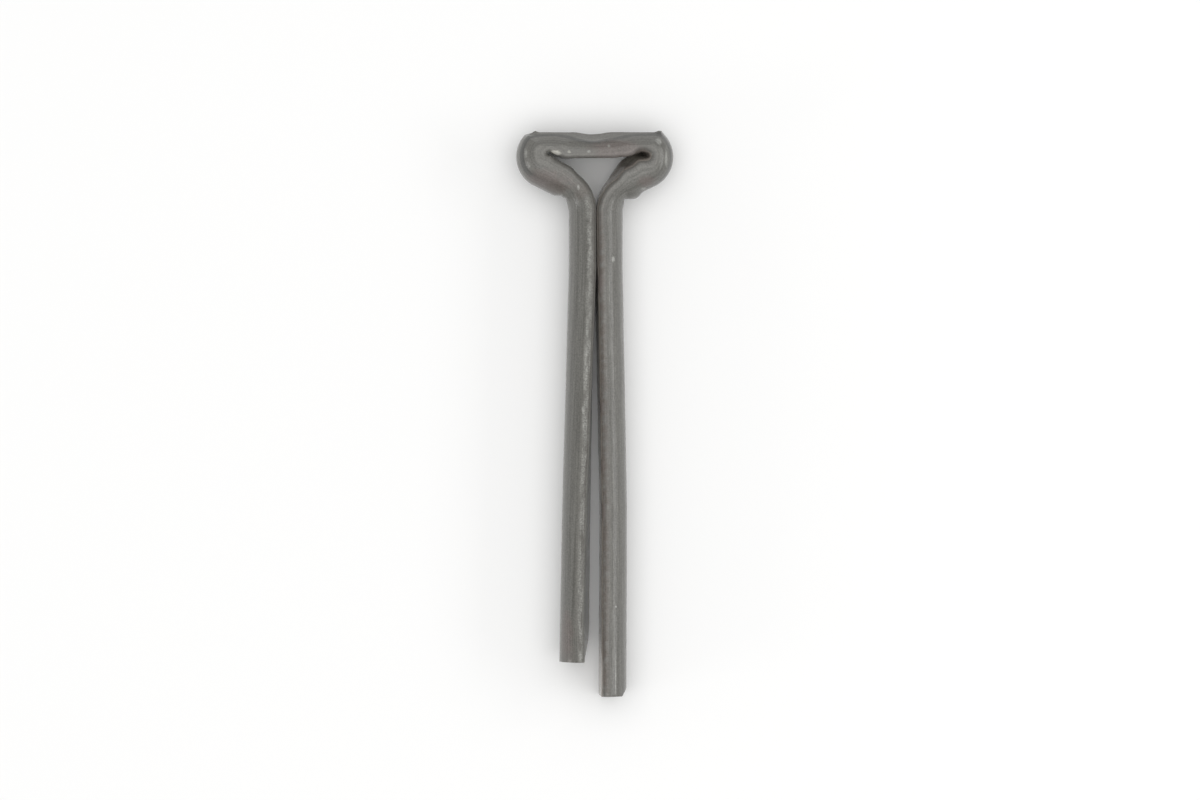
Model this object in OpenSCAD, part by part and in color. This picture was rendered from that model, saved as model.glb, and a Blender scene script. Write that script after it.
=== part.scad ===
// Extended-prong cotter pin (split pin), millimetres.
// One length of half-round wire. From the middle of the head's pressed top it runs out to a
// tight lobe on each side, folds back along a shoulder, turns down at the neck and ends as a
// prong. The two prongs lie flat to flat until they spring apart.
// The pin lies on its side: the prongs point along -Y, the head is at +Y and +Z is up.
// The origin is on the shank's axis, level with the underside of the head.

/* [Wire] */
// Thickness of the half-round wire, from its flat to its crown
wire_t = 1.8; // [1.5:0.05:2.2]
// Radius of the two rounded edges beside the flat
edge_r = 0.46; // [0.2:0.02:0.6]
// Gap between the two flats where the shank is closed
flat_gap = 0.06; // [0.03:0.01:0.2]

/* [Prongs] */
// Length of the short prong below the head
pin_l = 31.7; // [24:0.1:60]
// How much further the long prong reaches
prong_extension = 2.3; // [0:0.1:6]
// Length of shank below the head that stays closed
closed_l = 4.6; // [3:0.1:12]
// Distance below the head at which the sprung prongs turn back
turn_back_l = 21; // [15:0.5:22]
// Radius that the flats follow in the gentle bends of the prongs
spring_r = 20; // [6:1:40]
// Angle at which the short prong leaves the shank
short_spread = 1.6; // [1.25, 1.6, 2.05, 2.25]
// Angle that the short prong turns back
short_return = 0.55; // [0.2, 0.55, 0.85]
// Angle at which the long prong leaves the shank
long_spread = 1.05; // [0.85, 1.05, 1.25, 1.6]
// Angle that the long prong turns back
long_return = 1.25; // [0.55, 0.85, 1.25]

/* [Prong ends] */
// Slant of the short prong's sheared end, away from square
shear_slant = 18; // [0:1:30]
// Width of the chamfer on the crown of the long prong
chamfer_w = 0.28; // [0.1:0.02:0.6]
// Length of that chamfer
chamfer_l = 0.55; // [0.1:0.05:1.2]
// Size of the small bevels on the other end edges
bevel = 0.14; // [0.05:0.01:0.3]

/* [Head] */
// Width of the head over its two lobes
head_w = 10.7; // [9:0.1:16]
// How far the head sits off the shank's axis, toward the short prong
head_shift = 0.07; // [-0.4:0.01:0.4]
// Height of the eye, from the underside of the head to the flat of its top
eye_h = 2.6; // [2.2:0.05:3.4]
// Inside radius of the lobes
lobe_r = 0.4; // [0.25:0.01:0.7]
// Height of the middle of the lobes above the top of the eye
lobe_lift = 0.06; // [0:0.01:0.3]
// Slope of the shoulders that run out to the lobes
shoulder_slope = 26; // [25, 26, 28.5]
// Radius that the flat follows where the wire leaves the shank
neck_r = 2.9; // [2.4:0.05:3.6]
// Angle at which the wire dips from each lobe to the middle of the top
top_dip = 17.5; // [16.5, 17.5]
// Radius that the flat follows at the foot of that dip
dip_r = 3; // [2.4:0.1:4]

/* [Die marks] */
// Depth of the facets pressed into the crown along the top
press_depth = 0.08; // [0.02:0.01:0.2]
// Angle between these facets
facet_angle = 34; // [20:1:40]
// Depth of the shallow dish in the middle of the top
dish_depth = 0.14; // [0.04:0.02:0.3]
// Length of that dish along the top
dish_l = 2.6; // [1.5:0.1:4]
// How far the long prong's shoulder mark lies below the short prong's
mark_step = 0.2; // [0:0.02:0.4]
// Clearance of the shoulder marks round the shank
mark_gap = 0.03; // [0.02:0.01:0.1]

/* [Hidden] */
$fn = 128;
steel = [0.20, 0.20, 0.185];
// Edge of the blocks that cut planes, longer than anything they cut
block = 4 * head_w;
// How far the rounded edges stand proud of the flat and the crown, so that they cross cleanly
lip = 0.004;
// Middle of a rounded edge, which lies inside the crown's circle
edge_y = sqrt(wire_t * (wire_t - 2 * edge_r));
half_width = edge_y + edge_r;
shank_r = wire_t + flat_gap / 2;
lobe_y = eye_h + lobe_lift;
// Reach of each lobe from the shank's axis
long_reach = head_w / 2 - head_shift;
short_reach = head_w / 2 + head_shift;
// Straight length of wire in the dip between the top and a lobe
dip_l = (lobe_lift + lobe_r * cos(top_dip) - dip_r * (1 - cos(top_dip))) / sin(top_dip);

// Distance of a lobe's middle from the shank's axis
function lobe_x(reach) = reach - wire_t - lobe_r;

// Straight length of wire in one half of the top
function top_l(reach) =
    lobe_x(reach) - (lobe_r + dip_r) * sin(top_dip) - dip_l * cos(top_dip);

// Straight length of wire in a shoulder
function shoulder_l(reach) =
    (lobe_x(reach) + lobe_r * sin(shoulder_slope) - flat_gap / 2
        - neck_r * (1 - sin(shoulder_slope))) / cos(shoulder_slope);

// Level at which a prong becomes straight, below the underside of the head
function neck_y(reach) =
    lobe_y - (lobe_r + neck_r) * cos(shoulder_slope) - shoulder_l(reach) * sin(shoulder_slope);

// Straight length of a prong between its two gentle bends
function sprung_l(spread) = (turn_back_l - closed_l - spring_r * sin(spread)) / cos(spread);

// Straight length of a prong that ends l below the head, after its last bend
function end_l(l, spread, turn_back) =
    (l - turn_back_l - spring_r * (sin(spread) - sin(spread - turn_back))) / cos(spread - turn_back);

// ---- The wire ----

// Half-round section: its flat lies on the y axis, its crown is at x = wire_t
module wire_section() {
    // Crown, between the lines from the middle of the flat through the rounded edges
    intersection() {
        circle(wire_t);
        polygon([
            [edge_r, -edge_y] / 2, wire_t / edge_r * [edge_r, -edge_y], [2 * wire_t, 0],
            wire_t / edge_r * [edge_r, edge_y], [edge_r, edge_y] / 2
        ]);
    }
    for (side = [-1, 1])
        translate([edge_r, side * edge_y])
            circle(edge_r + lip);
    translate([0, -edge_y])
        square([edge_r, 2 * edge_y]);
}

// Straight wire along +Y, then what follows it
module run(l) {
    rotate([-90, 0, 0])
        linear_extrude(l)
            wire_section();
    translate([0, l, 0])
        children();
}

// Bend with the flat on its inside, at radius r, then what follows it.
// The bend is drawn once from each end, as two arcs that overlap in its middle, so that
// each meets its own straight wire in one plane.
module bend_in(r, angle) {
    arc_in(r, 0, 0.6 * angle);
    translate([-r, 0, 0])
        rotate(angle)
            translate([r, 0, 0]) {
                arc_in(r, -0.6 * angle, 0.6 * angle);
                children();
            }
}

module arc_in(r, start, angle) {
    translate([-r, 0, 0])
        rotate_extrude(angle = angle, start = start)
            translate([r, 0])
                wire_section();
}

// The same with the flat on the outside of the bend
module bend_out(r, angle) {
    arc_out(r, 0, 0.6 * angle);
    translate([r, 0, 0])
        rotate(-angle)
            translate([-r, 0, 0]) {
                arc_out(r, -0.6 * angle, 0.6 * angle);
                children();
            }
}

module arc_out(r, start, angle) {
    translate([r, 0, 0])
        mirror([1, 0, 0])
            rotate_extrude(angle = angle, start = start)
                translate([r, 0])
                    mirror([1, 0])
                        wire_section();
}

// ---- The ends of the prongs, each with the last straight length before it ----

// Wedge that takes the corner at the origin off the wire, w wide and l long
module corner_wedge(w, l) {
    linear_extrude(block, center = true)
        polygon([[w / 2, -1.5 * l], [w / 2, l / 2], [-1.5 * w, l / 2]]);
}

// Sheared end, cut back on the underside
module sheared_end(l) {
    difference() {
        run(l);
        translate([0, l, half_width])
            rotate([-shear_slant, 0, 0])
                translate([-block / 2, 0, -block / 2])
                    cube(block);
        translate([wire_t, l, 0])
            corner_wedge(bevel, bevel);
    }
}

// Square end with its crown chamfered
module chamfered_end(l) {
    difference() {
        run(l);
        translate([wire_t, l, 0])
            corner_wedge(chamfer_w, chamfer_l);
        translate([0, l, 0])
            mirror([1, 0, 0])
                corner_wedge(bevel, bevel);
    }
}

// ---- The pin ----

// Half of the pin on the -X side, from the middle of the top to its prong's end
module half_pin(reach, mark_y, spread, turn_back) {
    difference() {
        translate([0, eye_h, 0])
            rotate(90)
                run(top_l(reach))
                bend_out(dip_r, top_dip)
                run(dip_l)
                bend_in(lobe_r, 180 - shoulder_slope + top_dip)
                run(shoulder_l(reach))
                bend_out(neck_r, 90 - shoulder_slope)
                run(closed_l + neck_y(reach))
                bend_out(spring_r, spread)
                run(sprung_l(spread))
                bend_in(spring_r, turn_back)
                children();
        // The jaw that held the shank presses the shoulder flat and squares its inner corner
        translate([-shank_r - mark_gap - block, neck_y(reach), -block / 2])
            cube([block, mark_y - neck_y(reach), block]);
    }
}

// Facets and dish that the die presses into the top of the head
module top_die() {
    dish_r = (dish_l * dish_l / 4 + dish_depth * dish_depth) / (2 * dish_depth);
    translate([0, eye_h, 0]) {
        for (tilt = [-facet_angle, 0, facet_angle])
            rotate([tilt, 0, 0])
                translate([-block / 2, wire_t - press_depth, -block / 2])
                    cube(block);
        translate([0, wire_t - press_depth - dish_depth + dish_r, -block / 2])
            cylinder(r = dish_r, h = block);
    }
}

module cotter_pin() {
    color(steel)
        difference() {
            union() {
                half_pin(short_reach, 0, short_spread, short_return)
                    sheared_end(end_l(pin_l, short_spread, short_return));
                mirror([1, 0, 0])
                    half_pin(long_reach, -mark_step, long_spread, long_return)
                        chamfered_end(end_l(pin_l + prong_extension, long_spread, long_return));
            }
            top_die();
        }
}

cotter_pin();
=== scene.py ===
"""Looks of the cotter pin: one length of half-round steel wire, drawn, bent, pressed and handled.

The wire is modelled in millimetres, lying as it came to rest, and is brought to metres at the
end. Its half-round section is extruded along the whole length: from the short prong's end up to
the head, round the short side's lobe, along the top, round the other lobe and down the long
prong. Heading is the direction of travel, turned left from +X. The crown is on the left of
travel and the flat on the right. Roll is how far the flat is turned up.
"""
import math
from collections import namedtuple

import bmesh
import bpy
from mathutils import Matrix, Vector


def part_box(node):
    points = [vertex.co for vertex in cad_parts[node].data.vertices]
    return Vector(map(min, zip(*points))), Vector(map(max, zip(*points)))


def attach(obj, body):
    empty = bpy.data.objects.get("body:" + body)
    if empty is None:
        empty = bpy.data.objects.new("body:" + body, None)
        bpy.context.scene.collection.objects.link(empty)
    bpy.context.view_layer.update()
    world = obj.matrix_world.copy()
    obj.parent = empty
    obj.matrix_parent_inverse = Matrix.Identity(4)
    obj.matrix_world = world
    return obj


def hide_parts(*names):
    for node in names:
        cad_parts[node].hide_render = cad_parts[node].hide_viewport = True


MM = 0.001

# ---- Section of the wire, mm ----
WIRE_T = 1.8
EDGE_R = 0.46
EDGE_Y = math.sqrt(WIRE_T * (WIRE_T - 2 * EDGE_R))
# Direction from the middle of the flat to the middle of a rounded edge
EDGE_ANGLE = math.atan2(EDGE_Y, EDGE_R)
SECTION_POINTS = 72
FLAT_CUTS = 15
# How far a point may be from where it should be when the section's points are chosen
SLACK = 0.002

# ---- Bends of the wire, mm and degrees ----
FLAT_GAP = 0.06
LOBE_R = 0.4
LOBE_LIFT = 0.06
SHOULDER_SLOPE = 26
NECK_R = 2.9
TOP_DIP = 17.5
DIP_R = 3
SPRING_R = 20
CLOSED_L = 4.6
TURN_BACK_L = 21
EXTENSION = 2.3

# ---- Ends of the prongs, mm ----
# Last stretch of each prong, which is shaped as its end and then divided crosswise
END_L = 2.8
END_RINGS = 12
RING_SHIFT = 0.12
# How far past the last stretch, and how far from a prong's end, points are still chosen
STRETCH_ROOM = 0.2
RIM_ROOM = 0.06
# Slope of the corner lost from the short prong's end: its length and its width
SHEAR_L = 1.5
SHEAR_W = 2
# Where that cut meets the end: how far inside the flat, and how far above its middle
SHEAR_IN = 0.12
SHEAR_Z = 1.1
# Points of the short prong's rim that are nearer to each other than this are merged
MERGE = 0.035
SHORT_RIM = 0.05
LONG_RIM = 0.06
CHAMFER_W = 0.28
CHAMFER_L = 0.55

# ---- Die marks, mm and degrees ----
PRESS_DEPTH = 0.08
FACET_ANGLE = 34
DISH_DEPTH = 0.14
DISH_L = 2.6
DISH_X = -0.22
DISH_CORE = (0.12, 0.4, 2)
# Side and level of the mark that each jaw left on a shoulder
JAWS = [(-1, 0.04), (1, -0.2)]
JAW_GAP = 0.09
JAW_FOOT = -2
# Steel that the jaws pushed aside: place, reach, move and spread
RIGHT_JAW_PUSH = ((2.62, -0.05, 0), (0.2, 0.25, 2), (0.03, -0.2, 0), 0.5)
LEFT_JAW_PUSH = ((-1.87, 0.04, 0), (0.05, 0.06, 2), (-0.13, -0.13, 0), 0.5)
# Ends of the pressed top: place in x and z, reach, move and spread
TOP_ENDS = [
    # The lobe squeezed down beside the left burr, then the left burr and the right one
    ((-4.5, 0), (0.18, 0.12, 2), (0.03, -0.1, 0), 0.3),
    ((-4.15, 0.9), (0.1, 0.08, 0.5), (0.02, 0.09, 0), 0.24),
    ((4.36, 0.8), (0.12, 0.08, 0.5), (0, 0.1, 0), 0.26),
]

# ---- Steel pushed together by the bends, mm ----
# along, across and through: the part of the straight wire that moved
Push = namedtuple("Push", "along by spread across through", defaults=((-2, 2), (-0.1, 0.3)))
SWELLS = [
    # Short side: shoulder, where it leaves the lobe, the top, and inside the lobe
    Push((-6, -4.4), (0.09, 0.2, 0), 1.0),
    Push((-4.4, -3.9), (0.03, 0.16, 0), 0.5),
    Push((-3.4, -2.2), (0, -0.2, 0), 1.0),
    Push((-4.1, -3.3), (0.2, 0, 0), 0.4),
    # Long side: shoulder, where it leaves the lobe, its lower edge, and the top's upper half
    Push((4.5, 5.6), (-0.15, 0.34, 0), 1.0),
    Push((3.9, 4.5), (-0.03, 0.2, 0), 0.8),
    Push((4.3, 6.3), (-0.08, 0.2, 0), 0.8, across=(-2, -0.9)),
    Push((2.4, 3.4), (0, -0.16, 0), 0.8, across=(0, 2)),
    # The edge of the top that shows in the eye is sharper where it was squeezed
    Push((-3.2, 2.8), (0, -0.12, 0.02), 0.16, across=(1.2, 2), through=(0.08, 0.26)),
]

# ---- Unevenness of the whole wire ----
# Size and depth of the bumps, mm
WAVES = (2.5, 0.03)
PITTING = (0.45, 0.012)
# Edges sharper than this, in degrees, stay sharp
SMOOTH_ANGLE = 40

# ---- Finish ----
STEEL_DARK = (0.106, 0.103, 0.092)
STEEL_LIGHT = (0.135, 0.132, 0.119)
BROWN_DARK = (0.092, 0.077, 0.065)
BROWN_PALE = (0.132, 0.110, 0.100)
# Pale grey for nicks and spots, and for painted highlights and the painted light on the short
# side's flat
WEAR_AND_PAINTED_LIGHT = (0.29, 0.29, 0.27)
# Painted shade round the head
PAINTED_SHADE_DARK = (0.055, 0.055, 0.050)
# Brown of the long side's flat, lightened as painted light
FLAT_BROWN_PAINTED_LIGHT = (0.29, 0.26, 0.23)
# Pale steel colour painted as light: highlights on the top's lower edge, and light inside the long
# side's fold
PALE_PAINTED_LIGHT = (0.47, 0.46, 0.41)
# How strongly the painted highlight strip shows in colour, and how much smoother the strip is
HIGHLIGHT_SHARE = 0.45
STRIP_POLISH = 0.08
# Depth of the drawing lines and pits, mm
RELIEF = 0.02
METAL = 0.4
OIL_ROUGHNESS = 0.16
# Middle and reach in mm, colour and strength of each mark: stains, nicks and spots that storage and
# use left, and painted highlights and painted light
MARKS = [
    # Brown oxide on the head, and down the long prong's inner edge
    ((1.4, 3.1, 1.7), (1.9, 0.8, 1.2), BROWN_PALE, 0.75),
    ((-3.4, 0.9, 1.5), (1.9, 0.9, 1.5), BROWN_PALE, 0.75),
    ((-2.7, 0.45, 1.2), (0.8, 0.5, 1.2), BROWN_DARK, 0.8),
    ((-1.0, 0.3, 1.4), (0.6, 0.7, 1.2), BROWN_DARK, 0.5),
    ((3.5, 0.9, 1.5), (0.7, 0.5, 1.2), BROWN_PALE, 0.75),
    ((0.3, -5.9, 0.8), (0.4, 0.9, 1.2), BROWN_PALE, 0.8),
    ((0.3, -14.4, 0.8), (0.35, 0.8, 1.2), BROWN_PALE, 0.8),
    ((0.45, -18.4, 1.0), (0.25, 0.6, 1.0), BROWN_PALE, 0.8),
    ((0.5, -21.5, 1.0), (0.25, 0.9, 1.0), BROWN_PALE, 0.8),
    # A nick by the neck on the short side, then painted highlights: two spots on the long prong's
    # highlight line, a streak along it near the prong's end, and a glint on the right lobe's top
    ((-1.17, 0.54, 1.5), (0.12, 0.22, 0.5), WEAR_AND_PAINTED_LIGHT, 0.9),
    ((1.18, -4.35, 1.5), (0.14, 0.2, 0.5), WEAR_AND_PAINTED_LIGHT, 0.9),
    ((1.38, -27.9, 1.5), (0.08, 0.1, 0.5), WEAR_AND_PAINTED_LIGHT, 1.0),
    ((1.35, -32.4, 1.2), (0.05, 1.7, 0.5), WEAR_AND_PAINTED_LIGHT, 0.9),
    ((4.27, 3.67, 1.2), (0.22, 0.25, 0.9), WEAR_AND_PAINTED_LIGHT, 0.8),
    # Burnished spots on the top's lower edge, painted as highlights
    ((-2.7, 2.89, 1.5), (0.44, 0.19, 0.6), PALE_PAINTED_LIGHT, 0.8),
    ((-1.8, 2.93, 1.5), (0.12, 0.1, 0.5), PALE_PAINTED_LIGHT, 0.5),
    # A pale spot on the top
    ((0.9, 3.35, 1.7), (0.12, 0.12, 0.4), WEAR_AND_PAINTED_LIGHT, 0.5),
    # Painted glints on the outer sides of both lobes
    ((-4.74, 2.86, 1.0), (0.12, 0.36, 0.9), WEAR_AND_PAINTED_LIGHT, 0.7),
    ((4.78, 2.6, 1.0), (0.12, 0.6, 0.9), WEAR_AND_PAINTED_LIGHT, 0.7),
    # Painted light inside the long side's fold, where the slot lies in shade
    ((3.0, 2.3, -0.3), (1.1, 0.55, 1.2), PALE_PAINTED_LIGHT, 0.85),
    # A painted highlight on the top's lower edge, a spot on the long side's shoulder, and painted
    # highlights on the short prong: a spot in its highlight strip and one at its end
    ((-0.46, 2.96, 1.5), (0.16, 0.1, 0.5), WEAR_AND_PAINTED_LIGHT, 0.9),
    ((3.32, 0.44, 1.2), (0.28, 0.14, 0.9), WEAR_AND_PAINTED_LIGHT, 0.8),
    ((-0.86, -14.56, 1.5), (0.12, 0.24, 0.5), WEAR_AND_PAINTED_LIGHT, 0.8),
    ((-1.0, -31.2, 1.2), (0.16, 0.4, 0.8), WEAR_AND_PAINTED_LIGHT, 0.7),
    # Brown oxide on the short prong's end
    ((-2.0, -29.9, 1.2), (0.6, 1.9, 1.2), BROWN_PALE, 0.7),
]

# ---- Stage ----
PAPER = (0.845, 0.845, 0.84, 1)
PAPER_SIZE = 1.6
WHITE = (1, 1, 1, 1)
ROOM_LIGHT = 0.6
# Name, place and size in metres, and power in watts
LAMPS = [
    ("overhead", (0.02, -0.014, 0.6), (1.0, 1.0), 3.4),
    ("key", (0.46, -0.02, 0.2), (0.4, 0.1), 0.46),
    ("fill", (-0.46, -0.18, 0.12), (0.16, 0.06), 0.2),
]
LAMP_AIM = (0, -0.014, 0)
# Middle and width of the camera's view, mm
VIEW_X, VIEW_Y = 0.29, -13.88
VIEW_WIDTH = 81.63
LENS, SENSOR = 200, 36
NEAREST_SEEN = 0.01

# reach: how far the head reaches to this side. length: of the prong, below the head.
# rolls: at the middle of the top, then after each stretch of half_route.
Half = namedtuple("Half", "reach length spread turn_back rolls")


# ---- Working in edit mode ----


def open_mesh(piece):
    """Edit mode on one piece, with nothing in it selected."""
    bpy.ops.object.select_all(action="DESELECT")
    bpy.context.view_layer.objects.active = piece
    piece.select_set(True)
    bpy.ops.object.mode_set(mode="EDIT")
    bpy.ops.mesh.select_all(action="DESELECT")


def close_mesh():
    bpy.ops.object.mode_set(mode="OBJECT")


def choose(piece, test):
    """Selects the points whose place passes the test, and what lies between them."""
    mesh = bmesh.from_edit_mesh(piece.data)
    bpy.ops.mesh.select_all(action="DESELECT")
    for point in mesh.verts:
        if test(point.co):
            point.select = True
    mesh.select_flush_mode()
    bmesh.update_edit_mesh(piece.data)


def move(by, spread=0):
    """Moves what is selected, and draws along what lies within spread of it over the surface."""
    bpy.ops.transform.translate(
        value=by,
        use_proportional_edit=spread > 0,
        use_proportional_connected=True,
        proportional_edit_falloff="SMOOTH",
        proportional_size=spread,
    )


def turn(degrees, axis, about):
    """Turns what is selected by the right-hand rule. With no window open, that takes a minus."""
    if degrees:
        bpy.ops.transform.rotate(
            value=-math.radians(degrees),
            orient_axis=axis,
            orient_type="GLOBAL",
            center_override=about,
        )


def scale(by, about):
    bpy.ops.transform.resize(value=by, center_override=about)


def nudge(piece, place, within, by, spread):
    """Moves the points in a block round a place, and draws along what lies within spread."""
    choose(piece, lambda point: all(abs(point[i] - place[i]) <= within[i] for i in range(3)))
    move(by, spread)


# ---- Route of the wire ----


def half_route(eye_h, half):
    """Length, bend and number of steps of each stretch, from the middle of the top.

    A bend is positive where the flat is on its inside.
    """
    lobe_x = half.reach - WIRE_T - LOBE_R
    dip, slope = math.radians(TOP_DIP), math.radians(SHOULDER_SLOPE)
    out, back = math.radians(half.spread), math.radians(half.turn_back)
    dip_l = (LOBE_LIFT + LOBE_R * math.cos(dip) - DIP_R * (1 - math.cos(dip))) / math.sin(dip)
    top_l = lobe_x - (LOBE_R + DIP_R) * math.sin(dip) - dip_l * math.cos(dip)
    shoulder_l = (
        lobe_x + LOBE_R * math.sin(slope) - FLAT_GAP / 2 - NECK_R * (1 - math.sin(slope))
    ) / math.cos(slope)
    neck_y = (
        eye_h + LOBE_LIFT - (LOBE_R + NECK_R) * math.cos(slope) - shoulder_l * math.sin(slope)
    )
    sprung_l = (TURN_BACK_L - CLOSED_L - SPRING_R * math.sin(out)) / math.cos(out)
    end_l = (
        half.length - TURN_BACK_L - SPRING_R * (math.sin(out) - math.sin(out - back))
    ) / math.cos(out - back)
    return [
        (top_l, 0, 14),
        (DIP_R * dip, -TOP_DIP, 6),
        (dip_l, 0, 7),
        (LOBE_R * (math.pi - slope + dip), 180 - SHOULDER_SLOPE + TOP_DIP, 40),
        (shoulder_l, 0, 14),
        (NECK_R * (math.pi / 2 - slope), SHOULDER_SLOPE - 90, 22),
        (CLOSED_L + neck_y, 0, 10),
        (SPRING_R * out, -half.spread, 2),
        (sprung_l, 0, 30),
        (SPRING_R * back, half.turn_back, 2),
        (end_l - END_L, 0, 22),
        (END_L, 0, 1),
    ]


def half_stations(eye_h, half):
    """Stations of half the wire on the -X side, from the middle of the top.

    Each is x, y, heading, roll and how far along the wire it lies.
    """
    x, y, heading, along = 0.0, eye_h, 180.0, 0.0
    stations = [(x, y, heading, half.rolls[0], along)]
    for stretch, (length, bend, steps) in enumerate(half_route(eye_h, half)):
        chord, half_bend = length / steps, math.radians(bend / steps) / 2
        if bend:
            chord *= math.sin(half_bend) / half_bend
        for step in range(1, steps + 1):
            x += chord * math.cos(math.radians(heading) + half_bend)
            y += chord * math.sin(math.radians(heading) + half_bend)
            heading += bend / steps
            along += length / steps
            before, after = half.rolls[stretch : stretch + 2]
            roll = before + (after - before) * step / steps
            stations.append((x, y, heading, roll, along))
    return stations


def wire_stations(eye_h, short, long):
    """Stations of the whole wire, from the short prong's end to the long prong's end."""
    up = [(x, y, h - 180, roll, -s) for x, y, h, roll, s in reversed(half_stations(eye_h, short))]
    down = [(-x, y, 180 - h, roll, s) for x, y, h, roll, s in half_stations(eye_h, long)]
    return up + down[1:]


# ---- The wire ----


def half_round_section():
    """Face of the wire's section, square to +X, with its crown at +Y and its flat along Z.

    A small circle is parted into the two rounded edges, and the rest of it becomes the crown.
    """
    bpy.ops.object.select_all(action="DESELECT")
    bpy.ops.mesh.primitive_circle_add(
        vertices=SECTION_POINTS,
        radius=EDGE_R,
        fill_type="NGON",
        rotation=(0, math.radians(90), 0),
    )
    bpy.ops.object.transform_apply(rotation=True)
    piece = bpy.context.object
    piece.name = piece.data.name = "folded_wire"

    def angle(place):
        return math.atan2(place.z, place.y)

    open_mesh(piece)
    bpy.ops.mesh.select_all(action="SELECT")
    turn(180 / SECTION_POINTS, "X", (0, 0, 0))
    choose(piece, lambda place: abs(angle(place)) < EDGE_ANGLE)
    scale([WIRE_T / EDGE_R] * 3, (0, 0, 0))
    for side in (-1, 1):
        choose(
            piece,
            lambda place: place.length < EDGE_R + SLACK and side * angle(place) > EDGE_ANGLE,
        )
        move((0, EDGE_R, side * EDGE_Y))
    choose(piece, lambda place: place.y < SLACK)
    bpy.ops.mesh.subdivide(number_cuts=FLAT_CUTS)
    bpy.ops.mesh.select_all(action="SELECT")
    return piece


def extrude_along(piece, stations):
    """Carries the selected section along the stations, turning and rolling it on the way."""
    x, y, heading, roll, _ = stations[0]
    turn(-roll, "X", (0, 0, 0))
    turn(heading, "Z", (0, 0, 0))
    move((x, y, 0))
    for next_x, next_y, next_heading, next_roll, _ in stations[1:]:
        bpy.ops.mesh.extrude_region_move(
            TRANSFORM_OT_translate={"value": (next_x - x, next_y - y, 0)}
        )
        about = (next_x, next_y, 0)
        if next_roll == roll:
            turn(next_heading - heading, "Z", about)
        else:
            turn(-heading, "Z", about)
            turn(roll - next_roll, "X", about)
            turn(next_heading, "Z", about)
        x, y, heading, roll = next_x, next_y, next_heading, next_roll


def note_unbent_place(piece, section, stations):
    """Writes on each point its place in the straight wire: across, through and along it, in mm."""
    unbent = piece.data.attributes.new("unbent", "FLOAT_VECTOR", "POINT")
    for index in range(len(piece.data.vertices)):
        ring, point = divmod(index, len(section))
        through, across = section[point]
        unbent.data[index].vector = (across, through, stations[ring][4])


def put_in_order(piece):
    """Orders the points by their places, and makes the faces again in the order of their points.

    Extruding and cutting leave them in an order that changes from run to run, and the moves
    that draw along what is near depend on it.
    """
    mesh = bmesh.from_edit_mesh(piece.data)
    mesh.verts.index_update()
    in_order = sorted(mesh.verts, key=lambda point: tuple(point.co))
    rank = {point.index: number for number, point in enumerate(in_order)}
    mesh.verts.sort(key=lambda point: rank[point.index])
    mesh.verts.index_update()
    outlines = []
    for face in mesh.faces:
        outline = [point.index for point in face.verts]
        first = outline.index(min(outline))
        outlines.append(outline[first:] + outline[:first])
    for parts in (mesh.faces, mesh.edges):
        for part in list(parts):
            parts.remove(part)
    mesh.verts.ensure_lookup_table()
    for outline in sorted(outlines):
        mesh.faces.new([mesh.verts[number] for number in outline])
    bmesh.update_edit_mesh(piece.data)


# ---- Ends of the prongs ----


def shape_short_end(piece, short, end_x):
    """Cuts back the corner low on the flat's side, and eases the rim."""

    def last_stretch(place):
        return place.x < 0 and place.y < END_L + STRETCH_ROOM - short.length

    choose(piece, last_stretch)
    bpy.ops.mesh.bisect(
        plane_co=(end_x - SHEAR_IN, -short.length, SHEAR_Z),
        plane_no=Vector((SHEAR_L, -SHEAR_W * math.sqrt(2), -SHEAR_L)).normalized(),
        use_fill=True,
        clear_outer=True,
    )
    choose(piece, lambda place: place.x < 0 and place.y < RIM_ROOM - short.length)
    bpy.ops.mesh.remove_doubles(threshold=MERGE)
    bpy.ops.mesh.bevel(offset=SHORT_RIM, segments=2, affect="EDGES", clamp_overlap=True)
    ring_last_stretch(piece, last_stretch, short)


def shape_long_end(piece, long, end_x):
    """Takes the corner off the crown and eases the rim."""

    def last_stretch(place):
        return place.x > 0 and place.y < END_L + STRETCH_ROOM - long.length

    choose(piece, last_stretch)
    bpy.ops.mesh.bisect(
        plane_co=(end_x + WIRE_T - CHAMFER_W, -long.length, 0),
        plane_no=(CHAMFER_L, -CHAMFER_W, 0),
        use_fill=True,
        clear_outer=True,
    )
    choose(piece, lambda place: place.y < RIM_ROOM - long.length)
    bpy.ops.mesh.bevel(offset=LONG_RIM, segments=2, affect="EDGES")
    ring_last_stretch(piece, last_stretch, long)


def ring_last_stretch(piece, last_stretch, half):
    """Divides the last stretch of a prong crosswise."""
    for ring in range(1, END_RINGS):
        level = END_L * ring / END_RINGS + RING_SHIFT - half.length
        choose(piece, last_stretch)
        bpy.ops.mesh.bisect(plane_co=(0, level, 0), plane_no=(0, 1, 0))


# ---- Die marks and swells ----


def press_top(piece, eye_h):
    """Presses the top flat, with a facet on each side of it, and a shallow dish in its middle."""
    about, level = (0, eye_h, 0), eye_h + WIRE_T - PRESS_DEPTH
    for tilt in (0, -FACET_ANGLE, FACET_ANGLE):
        bpy.ops.mesh.select_all(action="SELECT")
        turn(-tilt, "X", about)
        bpy.ops.mesh.bisect(plane_co=(0, level, 0), plane_no=(0, 1, 0))
        choose(piece, lambda place: place.y > level)
        scale((1, 0, 1), (0, level, 0))
        bpy.ops.mesh.select_all(action="SELECT")
        turn(tilt, "X", about)
    nudge(piece, (DISH_X, level, 0), DISH_CORE, (0, -DISH_DEPTH, 0), DISH_L / 2)


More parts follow.
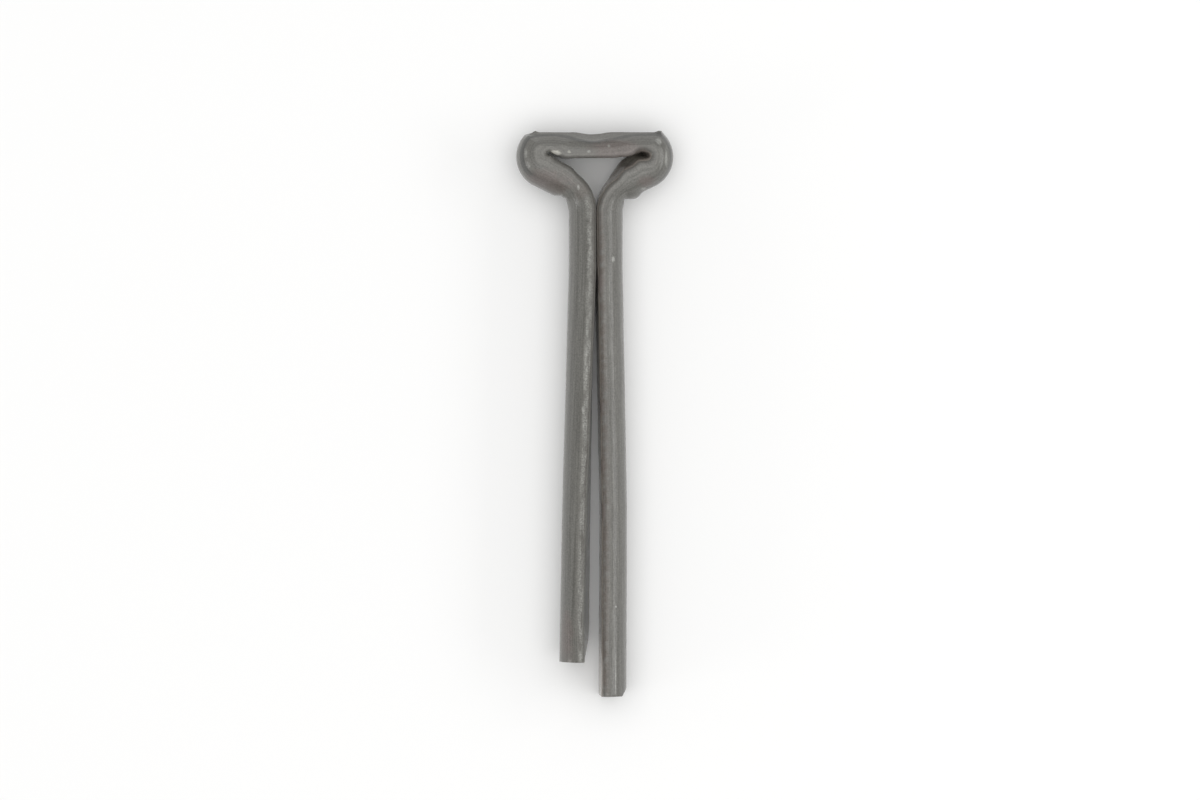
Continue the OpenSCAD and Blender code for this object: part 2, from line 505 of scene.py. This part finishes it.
def press_shoulders(piece):
    """Squares the shoulders where the jaws held the shank, each with the steel it pushed aside."""
    nudge(piece, *RIGHT_JAW_PUSH)
    for side, level in JAWS:
        choose(
            piece,
            lambda place: place.x * side > WIRE_T + JAW_GAP and JAW_FOOT < place.y < level,
        )
        scale((1, 0, 1), (0, level, 0))
    nudge(piece, *LEFT_JAW_PUSH)


def push(piece, swell):
    """Moves a part of the wire that is found by its place in the straight wire."""
    mesh = bmesh.from_edit_mesh(piece.data)
    unbent = mesh.verts.layers.float_vector["unbent"]
    limits = (swell.across, swell.through, swell.along)
    bpy.ops.mesh.select_all(action="DESELECT")
    for point in mesh.verts:
        place = zip(point[unbent], limits)
        point.select = all(least <= value <= most for value, (least, most) in place)
    mesh.select_flush_mode()
    bmesh.update_edit_mesh(piece.data)
    move(swell.by, swell.spread)


def swell_bends(piece):
    """The tight bends pushed the steel inside them together and narrowed the slots by the eye."""
    for swell in SWELLS:
        push(piece, swell)


def raise_burrs(piece, level):
    """Burrs at the ends of the pressed top, and the lobe squeezed down beside the left one."""
    for (x, z), within, by, spread in TOP_ENDS:
        nudge(piece, (x, level, z), within, by, spread)


def roughen(piece, name, size, depth):
    """Uneven surface: bumps of one size and depth, in mm."""
    lumps = bpy.data.textures.new(name, "CLOUDS")
    lumps.noise_scale, lumps.noise_depth = size, 1
    uneven = piece.modifiers.new(name, "DISPLACE")
    uneven.texture, uneven.texture_coords = lumps, "LOCAL"
    uneven.mid_level, uneven.strength = 0.5, depth
    bpy.ops.object.modifier_apply(modifier=name)


def folded_wire(short, long, top):
    """The whole pin, from its bare section to the finished mesh in metres."""
    eye_h = top - WIRE_T + PRESS_DEPTH
    stations = wire_stations(eye_h, short, long)
    piece = half_round_section()
    section = [(point.co.y, point.co.z) for point in bmesh.from_edit_mesh(piece.data).verts]
    extrude_along(piece, stations)
    close_mesh()
    note_unbent_place(piece, section, stations)
    open_mesh(piece)
    put_in_order(piece)
    shape_short_end(piece, short, stations[0][0])
    put_in_order(piece)
    shape_long_end(piece, long, stations[-1][0])
    put_in_order(piece)
    press_top(piece, eye_h)
    put_in_order(piece)
    press_shoulders(piece)
    swell_bends(piece)
    raise_burrs(piece, top)
    bpy.ops.mesh.select_all(action="SELECT")
    bpy.ops.mesh.normals_make_consistent(inside=False)
    close_mesh()
    roughen(piece, "waves", *WAVES)
    roughen(piece, "pitting", *PITTING)
    open_mesh(piece)
    bpy.ops.mesh.select_all(action="SELECT")
    scale([MM] * 3, (0, 0, 0))
    close_mesh()
    bpy.ops.object.shade_smooth_by_angle(angle=math.radians(SMOOTH_ANGLE))
    return piece


# ---- Shader nodes ----


def add_node(tree, kind, inputs=None, **settings):
    """Adds a node, sets it and its inputs, and links the inputs that come from other nodes."""
    made = tree.nodes.new(kind)
    for name, value in settings.items():
        setattr(made, name, value)
    for socket, value in (inputs or {}).items():
        if isinstance(value, bpy.types.NodeSocket):
            tree.links.new(value, made.inputs[socket])
        else:
            made.inputs[socket].default_value = value
    return made


def reckon(tree, operation, *values):
    return add_node(tree, "ShaderNodeMath", dict(enumerate(values)), operation=operation).outputs[0]


def product(tree, first, second):
    return reckon(tree, "MULTIPLY", first, second)


def sloped(tree, value, slope, start):
    return reckon(tree, "MULTIPLY_ADD", value, slope, start)


def ease(tree, value, none_at, full_at, full=1.0):
    """0 up to none_at and full from full_at on, eased between. It may rise or fall."""
    inputs = {"Value": value, "From Min": none_at, "From Max": full_at, "To Max": full}
    made = add_node(tree, "ShaderNodeMapRange", inputs, interpolation_type="SMOOTHSTEP")
    return made.outputs["Result"]


def strip(tree, value, middle, rim, core):
    """1 within core of the middle, and 0 beyond rim of it."""
    off = reckon(tree, "ABSOLUTE", reckon(tree, "SUBTRACT", value, middle))
    return ease(tree, off, rim, core)


def grain(tree, place, stretch, detail, rough=0.5):
    """Noise with so many grains to the millimetre along each axis."""
    mapped = add_node(tree, "ShaderNodeMapping", {"Vector": place, "Scale": stretch})
    inputs = {"Vector": mapped.outputs[0], "Scale": 1.0, "Detail": detail, "Roughness": rough}
    return add_node(tree, "ShaderNodeTexNoise", inputs).outputs["Fac"]


def blend_colour(tree, share, first, second, kind="MIX"):
    made = add_node(tree, "ShaderNodeMix", data_type="RGBA", blend_type=kind)
    factor, one, other = made.inputs[0], made.inputs[6], made.inputs[7]
    for socket, value in ((factor, share), (one, first), (other, second)):
        if isinstance(value, bpy.types.NodeSocket):
            tree.links.new(value, socket)
        elif isinstance(value, tuple):
            socket.default_value = (*value, 1)
        else:
            socket.default_value = value
    return made.outputs[2]


def patch(tree, place, middle, reach, ragged):
    """1 at the middle of a patch on the pin, 0 outside it, with a ragged rim. All in mm."""
    offset = add_node(tree, "ShaderNodeVectorMath", {0: place, 1: middle}, operation="SUBTRACT")
    inputs = {0: offset.outputs[0], 1: tuple(1 / side for side in reach)}
    share = add_node(tree, "ShaderNodeVectorMath", inputs, operation="MULTIPLY")
    length = add_node(tree, "ShaderNodeVectorMath", {0: share.outputs[0]}, operation="LENGTH")
    uneven = sloped(tree, ragged, slope=1.2, start=-0.6)
    length = reckon(tree, "ADD", length.outputs["Value"], uneven)
    return ease(tree, length, none_at=1.25, full_at=0.45)


# ---- Steel ----

# The point's place on the pin and in the straight wire, in mm, and the grains there
Surface = namedtuple(
    "Surface", "place across through along broad_lines fine_lines mottle speckle"
)


def read_surface(tree):
    metres = add_node(tree, "ShaderNodeTexCoord").outputs["Object"]
    in_mm = {0: metres, "Scale": 1 / MM}
    place = add_node(tree, "ShaderNodeVectorMath", in_mm, operation="SCALE").outputs[0]
    unbent = add_node(tree, "ShaderNodeAttribute", attribute_name="unbent").outputs["Vector"]
    across, through, along = add_node(tree, "ShaderNodeSeparateXYZ", {0: unbent}).outputs
    return Surface(
        place,
        across,
        through,
        along,
        broad_lines=grain(tree, unbent, (5, 5, 0.12), detail=2),
        fine_lines=grain(tree, unbent, (16, 16, 0.35), detail=3),
        mottle=grain(tree, place, (2.2, 2.2, 2.2), detail=4, rough=0.6),
        speckle=grain(tree, place, (9, 9, 9), detail=3, rough=0.6),
    )


def upper_edge(tree, surface):
    """The upper rounded edge of the short prong."""
    edge = ease(tree, surface.across, none_at=1.0, full_at=1.3)
    return product(tree, edge, ease(tree, surface.along, none_at=-7, full_at=-9))


def painted_highlight_strip(tree, surface, edge):
    """Painted highlight along the short prong's upper edge, where an overhead lamp would reflect,
    broken by its grain.
    """
    middle = sloped(tree, surface.along, slope=0.0125, start=0.625)
    highlight_strip = product(tree, edge, strip(tree, surface.through, middle, rim=0.34, core=0.04))
    highlight_breakup = grain(tree, surface.place, (3, 0.8, 3), detail=2)
    highlight_strip = product(tree, highlight_strip, ease(tree, highlight_breakup, none_at=0.3, full_at=0.62))
    return product(tree, highlight_strip, ease(tree, surface.speckle, none_at=0.1, full_at=0.8, full=1.6))


def brown_edge(tree, surface):
    """Darker brown near the flat, faint on the short side and strong down the long prong's inner
    edge.
    """
    near_flat = ease(tree, surface.through, none_at=0.75, full_at=0.2)
    long_prong = ease(tree, surface.along, none_at=6, full_at=12)
    edge = product(tree, near_flat, sloped(tree, long_prong, slope=0.8, start=0.15))
    return product(tree, edge, ease(tree, surface.mottle, none_at=0.3, full_at=0.6))


def painted_shade_line(tree, surface):
    """Painted shade: a darker line round the head, on the steep side of the crown outside its
    middle.
    """
    from_middle = reckon(tree, "ABSOLUTE", surface.along)
    middle = sloped(tree, from_middle, slope=0.09, start=1.16)
    line = strip(tree, surface.through, middle, rim=0.17, core=0.08)
    return product(tree, line, ease(tree, from_middle, none_at=6, full_at=4.5, full=0.85))


def shade_lines_and_pits(tree, surface, colour):
    lines = ease(tree, surface.fine_lines, none_at=0.25, full_at=0.75, full=0.32)
    lines = reckon(tree, "ADD", lines, 0.84)
    shade = product(tree, lines, sloped(tree, surface.speckle, slope=1.1, start=0.45))
    grey = add_node(tree, "ShaderNodeCombineColor", {0: shade, 1: shade, 2: shade}).outputs[0]
    return blend_colour(tree, 1.0, colour, grey, "MULTIPLY")


def steel_colour(tree, surface, highlight_strip):
    body = ease(tree, surface.broad_lines, none_at=0.3, full_at=0.7)
    colour = blend_colour(tree, body, STEEL_DARK, STEEL_LIGHT)
    colour = blend_colour(tree, brown_edge(tree, surface), colour, BROWN_DARK)
    # Painted highlight along the short prong's upper edge
    colour = blend_colour(tree, product(tree, highlight_strip, HIGHLIGHT_SHARE), colour, WEAR_AND_PAINTED_LIGHT)
    # Painted light on the flats, which face each other across the shaded gaps between the prongs:
    # pale grey on the short side, light brown on the long side
    long_side = ease(tree, surface.along, none_at=-3, full_at=3)
    painted_light_flat = blend_colour(tree, long_side, WEAR_AND_PAINTED_LIGHT, FLAT_BROWN_PAINTED_LIGHT)
    flat = ease(tree, surface.through, none_at=0.12, full_at=0.04, full=0.8)
    colour = blend_colour(tree, flat, colour, painted_light_flat)
    # Painted shade round the head
    colour = blend_colour(tree, painted_shade_line(tree, surface), colour, PAINTED_SHADE_DARK)
    for middle, reach, shade, strength in MARKS:
        mark = patch(tree, surface.place, middle, reach, surface.mottle)
        colour = blend_colour(tree, product(tree, mark, strength), colour, shade)
    return shade_lines_and_pits(tree, surface, colour)


def steel_relief(tree, surface):
    """Normal of the drawing lines and pits."""
    height = surface.mottle
    layers = ((surface.broad_lines, 0.5), (surface.fine_lines, 0.3), (surface.speckle, 0.5))
    for layer, share in layers:
        height = sloped(tree, layer, share, height)
    inputs = {"Height": height, "Distance": RELIEF * MM, "Strength": 1.0}
    return add_node(tree, "ShaderNodeBump", inputs).outputs[0]


def drawn_steel():
    """Dull drawn steel under a thin coat of oil, most of it rubbed off the short prong's edge."""
    steel = bpy.data.materials.new("drawn_steel")
    steel.use_nodes = True
    tree = steel.node_tree
    surface = read_surface(tree)
    edge = upper_edge(tree, surface)
    # Mask of the painted highlight strip, which is also made smoother
    highlight_strip = painted_highlight_strip(tree, surface, edge)
    roughness = sloped(tree, surface.mottle, slope=0.2, start=0.45)
    roughness = sloped(tree, highlight_strip, slope=-STRIP_POLISH, start=roughness)
    oil_lost = product(tree, edge, ease(tree, surface.through, none_at=0.9, full_at=0.7))
    normal = steel_relief(tree, surface)
    sockets = tree.nodes["Principled BSDF"].inputs
    tree.links.new(steel_colour(tree, surface, highlight_strip), sockets["Base Color"])
    tree.links.new(roughness, sockets["Roughness"])
    tree.links.new(sloped(tree, oil_lost, slope=-0.65, start=0.8), sockets["Coat Weight"])
    tree.links.new(normal, sockets["Normal"])
    tree.links.new(normal, sockets["Coat Normal"])
    sockets["Metallic"].default_value = METAL
    sockets["Coat Roughness"].default_value = OIL_ROUGHNESS
    return steel


# ---- Stage ----


def paper_floor(level):
    bpy.ops.object.select_all(action="DESELECT")
    bpy.ops.mesh.primitive_plane_add(size=PAPER_SIZE, location=(0, 0, level))
    floor = bpy.context.object
    floor.name = "paper"
    paper = bpy.data.materials.new("paper")
    paper.use_nodes = True
    sockets = paper.node_tree.nodes["Principled BSDF"].inputs
    sockets["Base Color"].default_value = PAPER
    sockets["Roughness"].default_value = 0.9
    sockets["Specular IOR Level"].default_value = 0.1
    floor.data.materials.append(paper)


def softbox(name, place, size, power):
    bpy.ops.object.light_add(type="AREA", location=place)
    lamp = bpy.context.object
    lamp.name = name
    lamp.data.shape = "RECTANGLE"
    lamp.data.size, lamp.data.size_y = size
    lamp.data.energy = power
    facing = Vector(LAMP_AIM) - Vector(place)
    lamp.rotation_euler = facing.to_track_quat("-Z", "Y").to_euler()


def light_room():
    room = bpy.data.worlds.new("room")
    room.use_nodes = True
    background = room.node_tree.nodes["Background"]
    background.inputs["Color"].default_value = WHITE
    background.inputs["Strength"].default_value = ROOM_LIGHT
    bpy.context.scene.world = room
    for lamp in LAMPS:
        softbox(*lamp)


def look_down():
    """Camera straight above the pin."""
    height = VIEW_WIDTH * LENS / SENSOR
    bpy.ops.object.camera_add(location=(VIEW_X * MM, VIEW_Y * MM, height * MM))
    camera = bpy.context.object
    camera.data.lens, camera.data.sensor_width = LENS, SENSOR
    camera.data.clip_start = NEAREST_SEEN
    bpy.context.scene.camera = camera


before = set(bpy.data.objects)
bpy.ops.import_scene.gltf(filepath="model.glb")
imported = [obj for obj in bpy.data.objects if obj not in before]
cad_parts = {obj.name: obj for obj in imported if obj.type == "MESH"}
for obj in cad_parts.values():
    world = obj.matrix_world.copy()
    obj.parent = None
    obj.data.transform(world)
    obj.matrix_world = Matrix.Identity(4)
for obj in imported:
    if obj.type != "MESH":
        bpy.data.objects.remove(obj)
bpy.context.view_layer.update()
low, high = (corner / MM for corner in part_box("cotter_pin"))
short = Half(
    reach=-low.x,
    length=-low.y - EXTENSION,
    spread=1.6,
    turn_back=0.55,
    rolls=[-2, -2, 0, 3, -11, -10, -3, -3.3, -3.3, 5, 5.1, 8, 4],
)
long = Half(
    reach=high.x,
    length=-low.y,
    spread=1.05,
    turn_back=1.25,
    rolls=[-2, -2, -1, 2, 14, 8, 1, 3, 4, 3.2, 3.2, 3.5, 3.5],
)
wire = folded_wire(short, long, high.y)
wire.data.materials.append(drawn_steel())
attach(wire, "root")
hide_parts("cotter_pin")

paper_floor(min(point.co.z for point in wire.data.vertices))
light_room()
look_down()
bpy.context.scene.view_settings.view_transform = "Standard"
